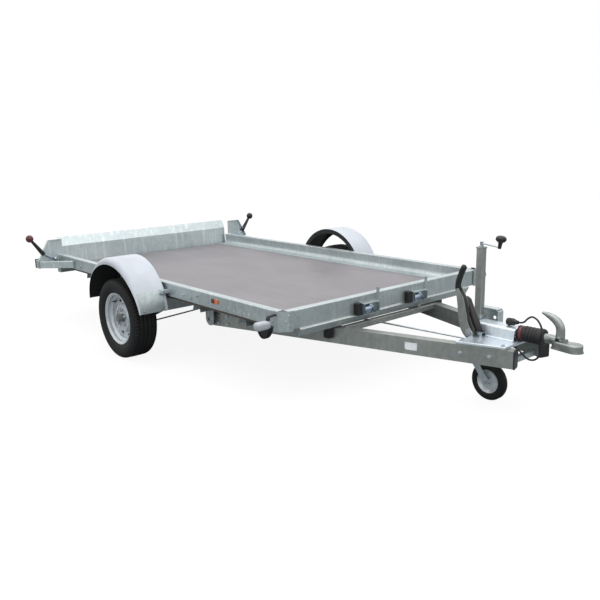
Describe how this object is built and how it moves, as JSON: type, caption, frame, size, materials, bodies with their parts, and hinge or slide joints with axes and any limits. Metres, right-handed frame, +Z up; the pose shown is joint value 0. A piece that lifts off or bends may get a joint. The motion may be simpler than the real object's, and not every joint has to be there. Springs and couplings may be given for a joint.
{
  "type": "flatbed trailer",
  "caption": "Galvanised single-axle tilt-bed flatbed trailer with plywood deck, folding tail panel, mudguards, A-frame drawbar, overrun coupling and jockey wheel.",
  "frame": {"origin": "on the ground at the middle of the bounding box", "axes": "+X forward to the coupling, +Y to the left of the direction of travel, +Z up"},
  "size_m": [4.351, 2.4074, 0.948],
  "materials": {
    "black_plastic": "moulded",
    "black_rubber": "moulded",
    "bright_zinc": "zinc plated",
    "cast_iron": "as cast",
    "galvanised": "hot-dip galvanised",
    "guard_plastic": "satin injection-moulded",
    "lamp_red": "clear lens",
    "phenolic_plywood": "phenolic film-faced plywood",
    "silver_steel": "silver paint",
    "tyre_rubber": "moulded"
  },
  "bodies": {
    "drawbar": {"beam_right": "galvanised", "beam_left": "galvanised", "beam_caps": "black_rubber", "cross_tube": "galvanised", "rubber_buffers": "black_rubber", "head_cross_bar": "galvanised", "head_tray": "galvanised", "overrun_housing": "galvanised", "coupling_shaft": "bright_zinc", "bellows": "black_rubber", "coupling_head": "bright_zinc", "coupling_handle": "bright_zinc", "jack_post": "galvanised", "jack_bracket": "galvanised", "jack_crank": "bright_zinc", "jack_knob": "black_plastic", "handbrake_lever": "galvanised", "handbrake_grip": "black_plastic", "gas_strut": "black_plastic", "brake_rod": "bright_zinc", "plug_lead": "black_rubber", "plug": "black_plastic"},
    "tail_panel": {"tail_panel": "galvanised"},
    "wheel_right": {"tyre_right": "tyre_rubber", "rim_right": "silver_steel", "brake_drum_right": "cast_iron"},
    "wheel_left": {"tyre_left": "tyre_rubber", "rim_left": "silver_steel", "brake_drum_left": "cast_iron"},
    "jack_leg": {"jack_inner_tube": "galvanised"},
    "jockey_caster": {"jockey_fork": "galvanised", "jockey_pin": "bright_zinc"},
    "jockey_wheel": {"jockey_tyre": "tyre_rubber", "jockey_rim": "silver_steel"},
    "bed": {"axle_tube": "galvanised", "brake_cables": "black_plastic", "brake_linkage": "bright_zinc", "brake_plates": "bright_zinc", "cross_members": "galvanised", "deck": "phenolic_plywood", "front_corners": "galvanised", "front_flap": "galvanised", "front_latches": "bright_zinc", "front_sill": "galvanised", "lamp_outriggers": "galvanised", "latch_pads": "black_rubber", "mudguard_left": "guard_plastic", "mudguard_right": "guard_plastic", "mudguard_stays": "galvanised", "pivot_brackets": "galvanised", "pivot_pins": "bright_zinc", "position_lamps": "black_rubber", "rear_beam": "galvanised", "rear_lamps": "lamp_red", "side_rail_left": "galvanised", "side_rail_right": "galvanised", "swing_arms": "galvanised", "tail_latches": "bright_zinc", "wheel_chock": "black_plastic"}
  },
  "joints": [
    {"name": "bed_tilt", "type": "hinge", "parent": "drawbar", "child": "bed", "pos_m": [0.0305, 0, 0.3355], "axis": [0, -1, 0], "range_deg": [0, 17]},
    {"name": "tail_fold", "type": "hinge", "parent": "bed", "child": "tail_panel", "pos_m": [-2.1175, 0, 0.458], "axis": [0, -1, 0], "range_deg": [0, 110]},
    {"name": "wheel_right_roll", "type": "hinge", "parent": "bed", "child": "wheel_right", "pos_m": [-0.6195, -1.0335, 0.28], "axis": [0, 1, 0], "continuous": true},
    {"name": "wheel_left_roll", "type": "hinge", "parent": "bed", "child": "wheel_left", "pos_m": [-0.6195, 1.0335, 0.28], "axis": [0, 1, 0], "continuous": true},
    {"name": "jack_slide", "type": "slide", "parent": "drawbar", "child": "jack_leg", "axis": [0, 0, 1], "range_m": [-0.2, 0.055]},
    {"name": "jockey_swivel", "type": "hinge", "parent": "jack_leg", "child": "jockey_caster", "pos_m": [1.5405, 0.035, 0.25], "axis": [0, 0, 1], "continuous": true},
    {"name": "jockey_roll", "type": "hinge", "parent": "jockey_caster", "child": "jockey_wheel", "pos_m": [1.6245, 0.035, 0.11], "axis": [0, 1, 0], "continuous": true}
  ]
}
